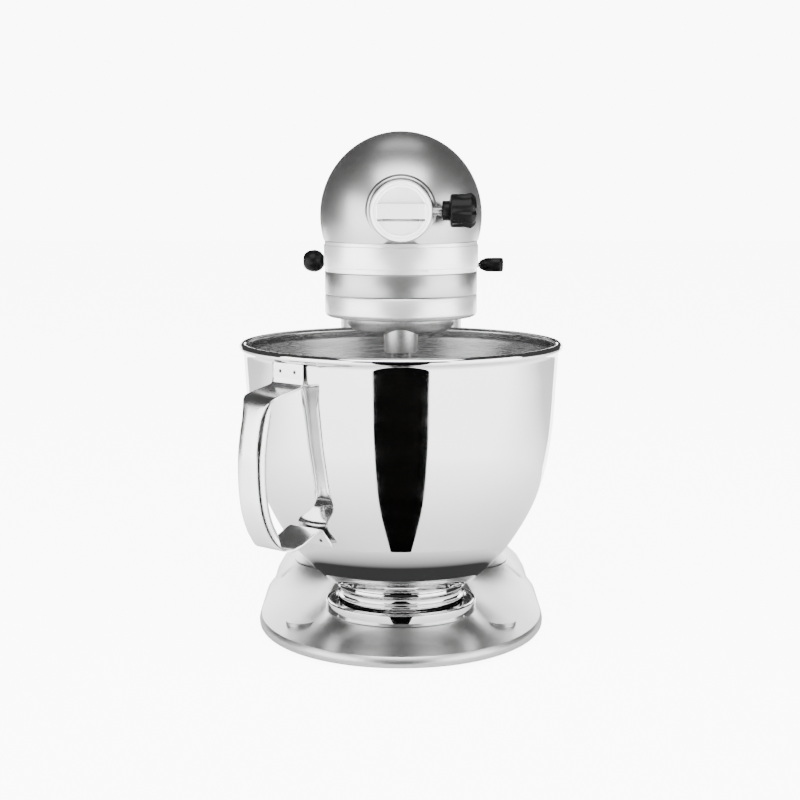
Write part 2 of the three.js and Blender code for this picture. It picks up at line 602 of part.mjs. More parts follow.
const motorAxis = [0, 0, MOTOR.z];
piece('transmission_case', makeCase(), castMetal());
piece('front_bearing', alongMotor([[MOTOR.shaft + GAP * 1.5, 46], [9, 46], [9, 54],
  [MOTOR.shaft + GAP * 1.5, 54]], 24), steel(), motorAxis);
piece('armature_shaft', makeArmatureShaft(), steel(), motorAxis);
piece('cooling_fan', makeFan(), blackPlastic(), motorAxis);
piece('armature_core', makeCore(), copper(), motorAxis);
piece('commutator', alongMotor([[MOTOR.shaft + GAP, 176], [12.6, 176], [12.6, 194],
  [MOTOR.shaft + GAP, 194]], 24), copper(), motorAxis);
piece('stator', makeStator(), castMetal(), motorAxis);
piece('rear_bearing', joined(alongMotor([[MOTOR.shaft + GAP * 1.5, 204], [9, 204], [9, 211],
  [MOTOR.shaft + GAP * 1.5, 211]], 24), box(-9, 9, 204, 211, LOWER.bottom + 5 + GAP - MOTOR.z, -8)),
steel(), motorAxis);
for (const [name, side] of [['left', -1], ['right', 1]]) {
  piece(`brush_holder_${name}`, rod([side * 13, BRUSH_Y, MOTOR.z], [side * 46, BRUSH_Y, MOTOR.z], 5),
    bronze());
  piece(`brush_cap_${name}`, rod([side * 46.6, BRUSH_Y, MOTOR.z], [side * 56.4, BRUSH_Y, MOTOR.z], 6),
    blackPlastic());
}

// ---- levers -------------------------------------------------------------------------------------
function makeLeverArm(reach, side) {
  const arm = joined(box(20, reach, -2.6, 2.6, -1.5, 1.5), rod([24, 0, -1.5], [24, 0, 1.5], 5.5));
  return cut(arm, bore([24, 0, -5], [24, 0, 5], 2.3)).rotateZ(side < 0 ? Math.PI : 0);
}

function makeSpeedKnob() {
  const round = turned([[0, 57], [2.6, 57], [4.4, 61], [6.4, 67], [6.4, 71.6], [4.6, 73.8], [0, 74.2]], 20)
    .rotateY(Math.PI / 2);
  return cut(overlapOf(round, box(50, 80, -8, 8, -4.9, 4.9)), box(50, 61, -3, 3, -1.8, 1.8));
}

function makeLockKnob() {
  const round = turned([[0, 56], [4.4, 56], [7.2, 58.8], [8, 63], [7, 67.6], [4, 70.6], [0, 71]], 20)
    .rotateY(Math.PI / 2);
  return cut(round, box(50, 60.6, -3, 3, -1.8, 1.8)).rotateZ(Math.PI);
}

piece('speed_lever_arm', makeLeverArm(60.4, 1), steel(), [0, LEVER_Y, SPEED_Z]);
piece('speed_lever_knob', makeSpeedKnob(), blackPlastic(), [0, LEVER_Y, SPEED_Z]);
piece('lock_lever_arm', makeLeverArm(60, -1), steel(), [0, LEVER_Y, LOCK_Z]);
piece('lock_lever_knob', makeLockKnob(), blackPlastic(), [0, LEVER_Y, LOCK_Z]);

export default mixer;
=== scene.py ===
# Looks of the tilt-head stand mixer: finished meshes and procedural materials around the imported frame.
# Shapes are worked out in millimetres from the bowl's axis, as in the CAD, and set down in metres.
import json
import math

import bmesh
import bpy
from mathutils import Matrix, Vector


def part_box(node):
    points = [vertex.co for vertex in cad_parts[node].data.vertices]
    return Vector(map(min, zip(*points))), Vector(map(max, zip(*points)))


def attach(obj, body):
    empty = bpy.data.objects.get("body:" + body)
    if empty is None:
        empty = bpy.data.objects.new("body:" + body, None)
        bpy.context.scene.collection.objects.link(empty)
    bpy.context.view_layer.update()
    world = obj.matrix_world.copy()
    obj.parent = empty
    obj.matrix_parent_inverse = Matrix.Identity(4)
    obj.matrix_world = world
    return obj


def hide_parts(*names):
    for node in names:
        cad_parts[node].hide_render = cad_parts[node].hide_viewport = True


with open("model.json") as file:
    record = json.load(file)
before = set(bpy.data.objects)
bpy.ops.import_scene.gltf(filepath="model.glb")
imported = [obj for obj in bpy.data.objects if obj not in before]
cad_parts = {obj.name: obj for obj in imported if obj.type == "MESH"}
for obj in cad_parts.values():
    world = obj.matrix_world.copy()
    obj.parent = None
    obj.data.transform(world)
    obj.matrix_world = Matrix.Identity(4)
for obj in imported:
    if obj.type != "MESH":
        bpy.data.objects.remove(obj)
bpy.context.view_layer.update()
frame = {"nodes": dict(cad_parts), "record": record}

MM = 0.001


def middle(node):
    """The middle of a node's box, in metres."""
    low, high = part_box(node)
    return [(a + b) / 2 for a, b in zip(low, high)]


BOWL_Y = middle("bowl_shell")[1]

# ---- driving dimensions, millimetres from the bowl's axis ----------------------------------------
RIM_RADIUS = 110.5
BEAD = 2.6
RIM_Z = 206.2
BOWL_FLOOR = 41.5
SHEET = 1.2
HEAD_HALF = 51.8
HEAD_REAR = 243.0
BAND_BOTTOM, BAND_TOP = 257.1, 277.6
LOWER_BOTTOM = 241.7
DOME_FRONT, DOME_CENTRE, DOME_RADIUS = -60.0, 294.7, 56.6
DOME_NARROW = 0.975
HUB_Z, HUB_BOSS = 299.5, 20.4
KNOB_Y = -62.0
BEATER_Y = -24.3
LEVER_Y = 80.0
SPEED_Z, LOCK_Z = 256.4, 259.2
HINGE_Y, HINGE_Z = 176.0, 221.5
BASE_HALF, BASE_FRONT, BASE_REAR = 102.0, -87.0, 232.0
SEAM = 31.0
BOLT_Y, BOLT_Z = 146.0, 214.0
BRUSH_Y, BRUSH_Z = 184.0, 300.0
WALL = 4.0
HANDLE_TURN = math.radians(-132)
HANDLE_WIDTH, HANDLE_THICK = 27.6, 1.3
BOWL_SIDE = [(44, 41.5), (54, 47.5), (74.5, 68.5), (93.6, 102.3), (102.9, 140.2), (106.4, 185), (107.4, 202)]

# ---- studio settings, metres and watts -----------------------------------------------------------
CAMERA_BACK, CAMERA_HEIGHT, CAMERA_DOWN = 1.201, 0.3324, 0.136
TABLE_GLOW = 9.0
CARD_GLOW = 3.4
BLACK_NEAR, BLACK_FAR, BLACK_RISE = 0.1, 2.4, 0.55
BLACK_NARROW, BLACK_WIDE = 0.015, 0.866
# size and height of the ring of painted shade under the bowl
SHADE_RING_INNER, SHADE_RING_OUTER, SHADE_RING_HEIGHT = 0.057, 0.092, 0.037


def place(x, y, z):
    """A point in metres, from millimetres measured off the bowl's axis."""
    return Vector((x * MM, BOWL_Y + y * MM, z * MM))


# ---- mesh helpers --------------------------------------------------------------------------------
def new_object(name, points, faces, materials, face_slots=None, sharp=40):
    mesh = bpy.data.meshes.new(name)
    mesh.from_pydata([tuple(p) for p in points], [], faces)
    for material in materials:
        mesh.materials.append(material)
    if face_slots:
        mesh.polygons.foreach_set("material_index", face_slots)
    mesh.validate()
    mesh.update()
    obj = bpy.data.objects.new(name, mesh)
    bpy.context.scene.collection.objects.link(obj)
    recalculate(obj)
    smooth(obj, sharp)
    return obj


def recalculate(obj):
    work = bmesh.new()
    work.from_mesh(obj.data)
    bmesh.ops.remove_doubles(work, verts=work.verts, dist=1e-7)
    bmesh.ops.recalc_face_normals(work, faces=work.faces)
    work.to_mesh(obj.data)
    work.free()


def smooth(obj, degrees):
    obj.data.shade_smooth()
    obj.data.set_sharp_from_angle(angle=math.radians(degrees))


def skin(name, rings, materials, sharp=40, slots=None, closed=False):
    """Quads between rings of equally many points, with a fan on each end unless it closes."""
    count = len(rings[0])
    points = [place(*p) for ring in rings for p in ring]
    faces = []
    face_slots = []
    pairs = len(rings) if closed else len(rings) - 1
    for level in range(pairs):
        low = level * count
        high = (level + 1) % len(rings) * count
        for i in range(count):
            j = (i + 1) % count
            faces.append((low + i, low + j, high + j, high + i))
            face_slots.append(slots[level] if slots else 0)
    if not closed:
        for start in (0, (len(rings) - 1) * count):
            centre = sum((points[start + i] for i in range(count)), Vector()) / count
            points.append(centre)
            for i in range(count):
                faces.append((start + i, start + (i + 1) % count, len(points) - 1))
                face_slots.append(0)
    return new_object(name, points, faces, materials, face_slots, sharp)


def turned(name, profile, materials, sides=128, axis="Z", at=(0, 0, 0), sharp=40, slots=None):
    """Turns [radius, height] points round an axis through a place; the profile closes on itself."""
    rings = []
    for radius, height in profile:
        ring = []
        for i in range(sides):
            angle = 2 * math.pi * i / sides
            a, b = radius * math.cos(angle), radius * math.sin(angle)
            x, y, z = {"Z": (a, b, height), "Y": (b, height, a), "X": (height, a, b)}[axis]
            ring.append((x + at[0], y + at[1], z + at[2]))
        rings.append(ring)
    closed = profile[0][0] > 0
    return skin(name, rings, materials, sharp, slots, closed)


def arc(cx, cz, radius, start, end, steps=8):
    """Points of an arc, as [radius from the axis, height], with its angles in degrees."""
    points = []
    for i in range(steps + 1):
        angle = math.radians(start + (end - start) * i / steps)
        points.append((cx + radius * math.cos(angle), cz + radius * math.sin(angle)))
    return points


def curve_through(points, steps):
    """Catmull-Rom points through a short list of control points."""
    ends = [tuple(2 * a - b for a, b in zip(points[0], points[1])), *points,
            tuple(2 * a - b for a, b in zip(points[-1], points[-2]))]
    result = []
    for k in range(1, len(ends) - 2):
        p0, p1, p2, p3 = ends[k - 1:k + 3]
        for s in range(steps):
            t = s / steps
            result.append(tuple(
                0.5 * (2 * b + (c - a) * t + (2 * a - 5 * b + 4 * c - d) * t * t
                       + (3 * b - a - 3 * c + d) * t ** 3)
                for a, b, c, d in zip(p0, p1, p2, p3)))
    result.append(tuple(points[-1]))
    return result


def boolean(obj, tool, operation):
    modifier = obj.modifiers.new("cut", "BOOLEAN")
    modifier.operation = operation
    modifier.solver = "MANIFOLD"
    modifier.object = tool
    bake_modifiers(obj)
    bpy.data.objects.remove(tool, do_unlink=True)


def bake_modifiers(obj):
    graph = bpy.context.evaluated_depsgraph_get()
    mesh = bpy.data.meshes.new_from_object(obj.evaluated_get(graph))
    obj.modifiers.clear()
    obj.data = mesh


def soften(obj, width, degrees=35, segments=3):
    modifier = obj.modifiers.new("edge", "BEVEL")
    modifier.width = width * MM
    modifier.segments = segments
    modifier.limit_method = "ANGLE"
    modifier.angle_limit = math.radians(degrees)
    modifier.harden_normals = False
    bake_modifiers(obj)
    smooth(obj, degrees)


def box_mesh(name, x0, x1, y0, y1, z0, z1, materials):
    ring = [(x0, y0), (x1, y0), (x1, y1), (x0, y1)]
    return skin(name, [[(x, y, z0) for x, y in ring], [(x, y, z1) for x, y in ring]], materials, 30)


# ---- materials -----------------------------------------------------------------------------------
class Look:
    """One procedural material: a Principled shader and the nodes that vary it."""

    def __init__(self, name, color, metallic, roughness):
        self.material = bpy.data.materials.new(name)
        self.material.use_nodes = True
        self.nodes = self.material.node_tree.nodes
        self.links = self.material.node_tree.links
        self.shader = self.nodes["Principled BSDF"]
        self.shader.inputs["Base Color"].default_value = (*color, 1)
        self.shader.inputs["Metallic"].default_value = metallic
        self.shader.inputs["Roughness"].default_value = roughness
        self.coordinates = self.nodes.new("ShaderNodeTexCoord").outputs["Object"]

    def noise(self, scale, detail=3.0, stretch=(1, 1, 1)):
        mapping = self.nodes.new("ShaderNodeMapping")
        mapping.inputs["Scale"].default_value = stretch
        self.links.new(self.coordinates, mapping.inputs["Vector"])
        texture = self.nodes.new("ShaderNodeTexNoise")
        texture.inputs["Scale"].default_value = scale
        texture.inputs["Detail"].default_value = detail
        self.links.new(mapping.outputs["Vector"], texture.inputs["Vector"])
        return texture.outputs["Fac"]

    def distance_from(self, point):
        """How far the shaded point lies from another."""
        measure = self.nodes.new("ShaderNodeVectorMath")
        measure.operation = "DISTANCE"
        measure.inputs[1].default_value = point
        self.links.new(self.coordinates, measure.inputs[0])
        return measure.outputs["Value"]

    def remap(self, factor, low, high, start, end):
        """A value that runs from low to high while the factor runs from start to end."""
        ramp = self.nodes.new("ShaderNodeMapRange")
        ramp.inputs["From Min"].default_value = start
        ramp.inputs["From Max"].default_value = end
        ramp.inputs["To Min"].default_value = low
        ramp.inputs["To Max"].default_value = high
        self.links.new(factor, ramp.inputs["Value"])
        return ramp.outputs["Result"]

    def vary(self, socket, factor, low, high, start=0.3, end=0.7):
        self.links.new(self.remap(factor, low, high, start, end), self.shader.inputs[socket])

    def tint(self, factor, dark, light, start=0.3, end=0.7):
        ramp = self.nodes.new("ShaderNodeValToRGB")
        ramp.color_ramp.elements[0].position = start
        ramp.color_ramp.elements[1].position = end
        ramp.color_ramp.elements[0].color = (*dark, 1)
        ramp.color_ramp.elements[1].color = (*light, 1)
        self.links.new(factor, ramp.inputs["Fac"])
        self.links.new(ramp.outputs["Color"], self.shader.inputs["Base Color"])

    def bump(self, factor, height, strength=0.4):
        bump = self.nodes.new("ShaderNodeBump")
        bump.inputs["Strength"].default_value = strength
        bump.inputs["Distance"].default_value = height * MM
        self.links.new(factor, bump.inputs["Height"])
        previous = self.shader.inputs["Normal"].links
        if previous:
            self.links.new(previous[0].from_socket, bump.inputs["Normal"])
        self.links.new(bump.outputs["Normal"], self.shader.inputs["Normal"])


def grey(value):
    return (value, value, value)


def silver_paint():
    look = Look("silver_paint", grey(0.5), 1.0, 0.34)
    flakes = look.noise(5200, 2)
    look.tint(flakes, grey(0.46), grey(0.54))
    look.vary("Roughness", look.noise(9, 4), 0.32, 0.37)
    look.bump(look.noise(240, 2), 0.02, 0.25)
    look.bump(flakes, 0.003, 0.12)
    return look.material


def mirror_steel():
    look = Look("mirror_steel", grey(0.78), 1.0, 0.045)
    look.tint(look.noise(14, 3), grey(0.74), grey(0.80))
    look.vary("Roughness", look.noise(30, 5, (1, 1, 3)), 0.03, 0.075)
    look.bump(look.noise(1400, 2, (1, 1, 6)), 0.002, 0.2)
    return look.material


def satin_steel():
    look = Look("satin_steel", grey(0.8), 1.0, 0.2)
    look.tint(look.noise(20, 3), grey(0.76), grey(0.84))
    look.vary("Roughness", look.noise(60, 4, (1, 1, 3)), 0.16, 0.24)
    look.bump(look.noise(1600, 2, (1, 1, 5)), 0.002, 0.25)
    return look.material


def brushed_steel():
    look = Look("brushed_steel", grey(0.5), 1.0, 0.22)
    grain = look.noise(3200, 4, (0.02, 0.02, 1))
    look.tint(grain, grey(0.46), grey(0.54))
    look.vary("Roughness", grain, 0.16, 0.3)
    look.bump(grain, 0.002, 0.08)
    return look.material


def bright_trim():
    look = Look("bright_trim", grey(0.9), 0.8, 0.34)
    grain = look.noise(2600, 4, (0.03, 0.03, 1))
    look.tint(grain, grey(0.86), grey(0.94))
    look.vary("Roughness", grain, 0.3, 0.38)
    look.bump(grain, 0.004, 0.35)
    return look.material


def white_trim():
    look = Look("white_trim", grey(0.97), 0.55, 0.36)
    grain = look.noise(2600, 4)
    look.tint(grain, grey(0.94), grey(0.99))
    look.vary("Roughness", look.noise(80, 4), 0.32, 0.4)
    look.bump(grain, 0.003, 0.25)
    return look.material


def cast_metal():
    look = Look("cast_metal", grey(0.6), 0.95, 0.36)
    grain = look.noise(900, 4)
    look.tint(grain, grey(0.54), grey(0.66))
    look.vary("Roughness", look.noise(60, 4), 0.32, 0.44)
    look.bump(grain, 0.02, 0.4)
    return look.material


def plated_steel():
    look = Look("plated_steel", grey(0.7), 1.0, 0.16)
    look.tint(look.noise(300, 3), grey(0.64), grey(0.74))
    look.vary("Roughness", look.noise(120, 4), 0.1, 0.22)
    look.bump(look.noise(1800, 2), 0.003, 0.3)
    return look.material


def black_gloss():
    look = Look("black_gloss", grey(0.003), 0.0, 0.3)
    look.tint(look.noise(40, 3), grey(0.0015), grey(0.004))
    look.vary("Roughness", look.noise(90, 5), 0.24, 0.34)
    look.shader.inputs["Specular IOR Level"].default_value = 0.09
    look.bump(look.noise(700, 3), 0.006, 0.25)
    return look.material


def soft_rubber():
    look = Look("soft_rubber", grey(0.02), 0.0, 0.75)
    look.tint(look.noise(200, 4), grey(0.015), grey(0.03))
    look.vary("Roughness", look.noise(150, 4), 0.65, 0.85)
    look.bump(look.noise(1500, 3), 0.03, 0.5)
    return look.material


def coloured_metal(name, color):
    look = Look(name, color, 1.0, 0.3)
    grain = look.noise(700, 4)
    look.tint(grain, tuple(c * 0.8 for c in color), color)
    look.vary("Roughness", grain, 0.24, 0.4)
    look.bump(grain, 0.01, 0.4)
    return look.material


def dark_dimple():
    look = Look("weld_dimple", grey(0.05), 1.0, 0.35)
    look.tint(look.noise(900, 3), grey(0.02), grey(0.08))
    look.vary("Roughness", look.noise(400, 3), 0.3, 0.5)
    look.bump(look.noise(1500, 3), 0.02, 0.4)
    return look.material


PAINT = silver_paint()
MIRROR = mirror_steel()
SATIN = satin_steel()
BRUSHED = brushed_steel()
TRIM = bright_trim()
WHITE_TRIM = white_trim()
CAST = cast_metal()
PLATED = plated_steel()
BLACK = black_gloss()
RUBBER = soft_rubber()
BRONZE = coloured_metal("worm_bronze", (0.42, 0.27, 0.11))
COPPER = coloured_metal("motor_copper", (0.45, 0.17, 0.07))
DIMPLE = dark_dimple()


# ---- studio --------------------------------------------------------------------------------------
def make_camera():
    data = bpy.data.cameras.new("camera")
    data.sensor_width = 36
    data.lens = 79.2
    camera = bpy.data.objects.new("camera", data)
    bpy.context.scene.collection.objects.link(camera)
    camera.location = (0, BOWL_Y - CAMERA_BACK, CAMERA_HEIGHT)
    camera.rotation_euler = (math.radians(90) - CAMERA_DOWN, 0, 0)
    data.shift_x = -0.00125
    data.clip_end = 20
    bpy.context.scene.camera = camera


def make_world():
    """White behind the object, and a dimmer room for what the metal reflects."""
    world = bpy.data.worlds.new("studio")
    bpy.context.scene.world = world
    world.use_nodes = True
    nodes, links = world.node_tree.nodes, world.node_tree.links
    room = nodes["Background"]
    room.inputs["Color"].default_value = (0.5, 0.5, 0.5, 1)
    room.inputs["Strength"].default_value = 0.14
    backdrop = nodes.new("ShaderNodeBackground")
    backdrop.inputs["Color"].default_value = (1, 1, 1, 1)
    backdrop.inputs["Strength"].default_value = 9.6
    rays = nodes.new("ShaderNodeLightPath")
    mix = nodes.new("ShaderNodeMixShader")
    links.new(rays.outputs["Is Camera Ray"], mix.inputs["Fac"])
    links.new(room.outputs["Background"], mix.inputs[1])
    links.new(backdrop.outputs["Background"], mix.inputs[2])
    links.new(mix.outputs["Shader"], nodes["World Output"].inputs["Surface"])


def softbox(name, location, target, width, height, power):
    data = bpy.data.lights.new(name, "AREA")
    data.shape = "RECTANGLE"
    data.size = width
    data.size_y = height
    data.energy = power
    light = bpy.data.objects.new(name, data)
    bpy.context.scene.collection.objects.link(light)
    light.location = location
    aim = Vector(target) - Vector(location)
    light.rotation_euler = aim.to_track_quat("-Z", "Y").to_euler()


def stage_sheet(name, corners, color, roughness, glow=0.0, faces=None):
    """A flat stage piece, which may also shine; its corners make one face unless faces are given."""
    look = Look(name, color, 0.0, roughness)
    look.vary("Roughness", look.noise(4, 3), roughness * 0.9, roughness)
    look.tint(look.noise(3, 3), tuple(c * 0.985 for c in color), color)
    look.shader.inputs["Specular IOR Level"].default_value = 0.0
    look.shader.inputs["Emission Color"].default_value = (1, 1, 1, 1)
    look.shader.inputs["Emission Strength"].default_value = glow
    mesh = bpy.data.meshes.new(name)
    mesh.from_pydata(corners, [], faces or [tuple(range(len(corners)))])
    mesh.materials.append(look.material)
    sheet = bpy.data.objects.new(name, mesh)
    bpy.context.scene.collection.objects.link(sheet)
    return sheet, look


def reflection_card(name, corners, color, glow=0.0, roughness=0.7, faces=None):
    """A sheet that only reflections see: it is out of the picture and casts no shadow."""
    sheet, look = stage_sheet(name, corners, color, roughness, glow, faces)
    sheet.visible_camera = False
    sheet.visible_diffuse = False
    sheet.visible_shadow = False
    return look


def make_table():
    """A white table, which only the metal's reflections miss."""
    corners = [(-6, -4, 0), (6, -4, 0), (6, 6, 0), (-6, 6, 0)]
    table, _ = stage_sheet("table", corners, grey(0.86), 0.7, TABLE_GLOW)
    table.visible_glossy = False


def make_glow_sheet():
    """What the metal mirrors instead of the table: dimmer towards the back, and dimmer near the bowl as
    painted shade round the mixer's foot.
    """
    corners = [(-2, -2.4, 0.001), (2, -2.4, 0.001), (2, 2.2, 0.001), (-2, 2.2, 0.001)]
    look = reflection_card("glow_sheet", corners, grey(0.8), CARD_GLOW)
    axes = look.nodes.new("ShaderNodeSeparateXYZ")
    look.links.new(look.coordinates, axes.inputs[0])
    rear_fade = look.remap(axes.outputs["Y"], 1.0, 0.22, -0.25, 0.5)
    # painted shade: the glow falls to about an eighth near the bowl, where the mixer shades the table
    painted_shade_near_bowl = look.remap(look.distance_from((0, BOWL_Y, 0)), 0.12, 1.0, 0.1, 0.45)
    both = look.nodes.new("ShaderNodeMath")
    both.operation = "MULTIPLY"
    look.links.new(rear_fade, both.inputs[0])
    look.links.new(painted_shade_near_bowl, both.inputs[1])
    look.vary("Emission Strength", both.outputs["Value"], 0.0, CARD_GLOW, 0.0, 1.0)


def make_black_cards():
    """A black wedge towards the camera and an upright at its far end, for the bowl's dark strip."""
    near, far = BOWL_Y - BLACK_NEAR, BOWL_Y - BLACK_FAR
    wedge = [(-BLACK_NARROW, near, 0.002), (BLACK_NARROW, near, 0.002),
             (BLACK_WIDE, far, 0.002), (-BLACK_WIDE, far, 0.002)]
    reflection_card("black_gap", wedge, grey(0.001), roughness=0.9)
    upright = [(-BLACK_WIDE, far, 0), (BLACK_WIDE, far, 0), (BLACK_WIDE, far, BLACK_RISE),
               (-BLACK_WIDE, far, BLACK_RISE)]
    reflection_card("black_upright", upright, grey(0.001), roughness=0.9)


def make_white_cards():
    """Pale cards: two tall ones out to the sides and two low ones behind the object."""
    for side in (-1, 1):
        x = side * 1.9
        tall = [(x, -1.1, 0), (x, -0.05, 0), (x, -0.05, 1.1), (x, -1.1, 1.1)]
        reflection_card("side_card", tall, grey(0.8), CARD_GLOW * 0.4)
        near, far = side * 0.07, side * 0.3
        low = [(near, 0.32, 0.01), (far, 0.3, 0.01), (far, 0.3, 0.24), (near, 0.32, 0.24)]
        reflection_card("low_card", low, grey(0.8), CARD_GLOW * 0.42)


def make_painted_shade_ring_under_bowl():
    """A ring of painted shade under the bowl, dark near the foot, so that the bowl and the base mirror a
    painted shadow in the gap.
    """
    steps = 96
    corners = []
    for radius in (SHADE_RING_INNER, SHADE_RING_OUTER):
        for k in range(steps):
            angle = 2 * math.pi * k / steps
            corners.append((radius * math.cos(angle), BOWL_Y + radius * math.sin(angle), SHADE_RING_HEIGHT))
    faces = [(k, (k + 1) % steps, steps + (k + 1) % steps, steps + k) for k in range(steps)]
    look = reflection_card("painted_shade_ring_under_bowl", corners, grey(0.001), roughness=0.9, faces=faces)
    reach = look.distance_from((0, BOWL_Y, SHADE_RING_HEIGHT))
    # painted shade: near black by the bowl's foot, its glow rising towards the ring's outer edge
    look.vary("Emission Strength", reach, 0.06, 1.7, 0.073, SHADE_RING_OUTER)


def make_studio():
    make_camera()
    make_world()
    make_table()
    make_glow_sheet()
    make_black_cards()
    make_white_cards()
    make_painted_shade_ring_under_bowl()
    aim = (0, BOWL_Y, 0.24)
    softbox("left_box", (-1.85, -1.25, 0.62), aim, 2.0, 1.3, 46)
    softbox("right_box", (1.85, -1.25, 0.62), aim, 2.0, 1.3, 46)
    softbox("front_box", (0, -1.2, 2.15), aim, 2.6, 1.7, 95)
    softbox("rear_box", (0, 1.3, 2.6), aim, 1.4, 0.8, 5)


def finish_piece(piece, body, slot, *nodes):
    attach(piece, body)
    if nodes:
        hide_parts(*nodes)


# ---- outlines ------------------------------------------------------------------------------------
def plan(half_width, front, rear, front_length, rear_length, power=2.0, inset=0.0, steps=24):
    """A plan outline with a rounded front and rear, as (x, y) points."""
    quarter = []
    for i in range(steps + 1):
        angle = math.pi / 2 * i / steps
        quarter.append((math.sin(angle) ** (2 / power), max(0.0, math.cos(angle)) ** (2 / power)))
    wide = half_width - inset
    right = [(wide * x, front + front_length - (front_length - inset) * y) for x, y in quarter]
    right += [(wide * x, rear - rear_length + (rear_length - inset) * y) for x, y in reversed(quarter)]
    left = [(-x, y) for x, y in reversed(right[1:-1])]
    return right + left


def base_plan(scale=1.0):
    """The base's outline, scaled about a point near its middle."""
    outline = plan(BASE_HALF, BASE_FRONT, BASE_REAR, 132, 120, 2.05)
    return [(x * scale, 30 + (y - 30) * scale) for x, y in outline]


def at_height(outline, z):
    return [(x, y, z) for x, y in outline]


def head_plan(inset=0.0):
    return plan(HEAD_HALF, -HEAD_HALF, HEAD_REAR, HEAD_HALF, 58, 2.15, inset)


def column_plan(z, inset=0.0):
    spread = min(1.16, max(0.0, 1 - (z - SEAM) / 92)) ** 2.6
    forward = min(spread, 1)
    return plan(46 + 35 * spread, 114 - 50 * forward, 196 + 23 * spread,
                30 + 26 * forward, 30 + 24 * spread, 2.5, inset, 16)


def ray_reach(outline, centre, angle):
    """How far an outline lies from a centre, along a direction measured from the front."""
    direction = Vector((math.sin(angle), -math.cos(angle)))
    best = 0.0
    for (x0, y0), (x1, y1) in zip(outline, outline[1:] + outline[:1]):
        a = Vector((x0, y0)) - centre
        along = Vector((x1 - x0, y1 - y0))
        cross = direction.x * along.y - direction.y * along.x
        if abs(cross) < 1e-9:
            continue
        reach = (a.x * along.y - a.y * along.x) / cross
        share = (a.x * direction.y - a.y * direction.x) / cross
        if -1e-6 <= share <= 1 + 1e-6:
            best = max(best, reach)
    return best


def smoothstep(low, high, value):
    t = min(1.0, max(0.0, (value - low) / (high - low)))
    return t * t * (3 - 2 * t)


# ---- holes --------------------------------------------------------------------------------------
def sides_of(node):
    """Where a node stands, in millimetres from the bowl's axis."""
    x, y, _ = middle(node)
    return x / MM, (y - BOWL_Y) / MM


def drill(piece, node, profile):
    """A stepped hole up through a piece, round the middle of the node that fills it."""
    boolean(piece, turned("hole", profile, [PAINT], 32, "Z", (*sides_of(node), 0)), "DIFFERENCE")


def bore_across(piece, radius, y, z):
    """A round hole from side to side."""
    profile = [(0, -70), (radius, -70), (radius, 70), (0, 70)]
    boolean(piece, turned("bore", profile, [PAINT], 48, "X", (0, y, z)), "DIFFERENCE")


def bore_up(piece, radius, z0, z1, y, material):
    """A round upright hole."""
    profile = [(0, z0), (radius, z0), (radius, z1), (0, z1)]
    boolean(piece, turned("bore", profile, [material], 64, "Z", (0, y, 0)), "DIFFERENCE")


# ---- base, column, feet --------------------------------------------------------------------------
def base_skin():
    """The base's top and edge, worked out along directions from its middle."""
    centre = Vector((0, 100))
    outline = base_plan()
    seat = [(51.6 * math.sin(a), 51.6 * -math.cos(a)) for a in
            (2 * math.pi * i / 96 for i in range(96))]
    foot = column_plan(SEAM, -0.2)
    count = 144
    edge = [(-3.0, 2.5), (-1.2, 2.7), (-0.3, 3.8), (0, 6.0), (-0.5, 8.2), (-1.9, 10.2)]
    slope_steps = 14
    rings = [[] for _ in range(len(edge) + slope_steps + 2)]
    for i in range(count):
        angle = 2 * math.pi * i / count
        swing = abs(math.degrees(angle if angle <= math.pi else angle - 2 * math.pi))
        outer = ray_reach(outline, centre, angle)
        limit = math.radians(min(swing, 28)) * (1 if angle <= math.pi else -1)
        rear_share = smoothstep(22, 58, swing)
        inner = (1 - rear_share) * ray_reach(seat, centre, limit) \
            + rear_share * ray_reach(foot, centre, angle)
        top = 20.7 + (SEAM - 0.4 - 20.7) * rear_share
        route = [(outer + shift, z) for shift, z in edge]
        start, low = route[-1]
        for k in range(1, slope_steps + 1):
            t = k / slope_steps
            rise = (0.9 - 0.5 * (1 - rear_share)) * t + (0.1 + 0.5 * (1 - rear_share)) * t ** 3
            route.append((start + (inner - start) * t, low + (top - low) * rise))
        route.append((inner - 1.5, top))
        route.append((inner * 0.2, 20.7))
        for ring, (reach, z) in zip(rings, route):
            ring.append((centre.x + math.sin(angle) * reach, centre.y - math.cos(angle) * reach, z))
    return skin("base_casting_look", rings, [PAINT], 50)


def make_base():
    base = base_skin()
    flare = skin("flare", [at_height(column_plan(z, 0.3), z) for z in (12, 20, SEAM - 0.4)], [PAINT])
    boolean(base, flare, "UNION")
    hollow = skin("hollow", [at_height(base_plan(scale), z) for z, scale in
                             ((1, 0.93), (6.5, 0.9), (9.5, 0.8), (10.5, 0.6))], [PAINT])
    boolean(base, hollow, "DIFFERENCE")
    for index in range(1, 6):
        at = (*sides_of(f"rubber_foot_{index}"), 0)
        pad_profile = [(0, 2.5), (9.6, 2.5), (10, 2.9), (10, 14.5), (0, 14.5)]
        pad = turned("pad", pad_profile, [PAINT], 48, "Z", at)
        hole = turned("hole", [(0, 0), (8.5, 0), (8.5, 4.6), (0, 4.6)], [PAINT], 48, "Z", at)
        boolean(base, pad, "UNION")
        boolean(base, hole, "DIFFERENCE")
    for number in (1, 2, 3):
        drill(base, f"clamp_screw_{number}", ((0, 12), (2.5, 12), (2.5, 30), (0, 30)))
    for number in (1, 2, 3):
        drill(base, f"column_bolt_{number}", ((0, 0), (7.2, 0), (7.2, 15.2), (3.6, 15.2), (3.6, 40), (0, 40)))
    smooth(base, 32)
    finish_piece(base, "base", "paint", "base_casting")


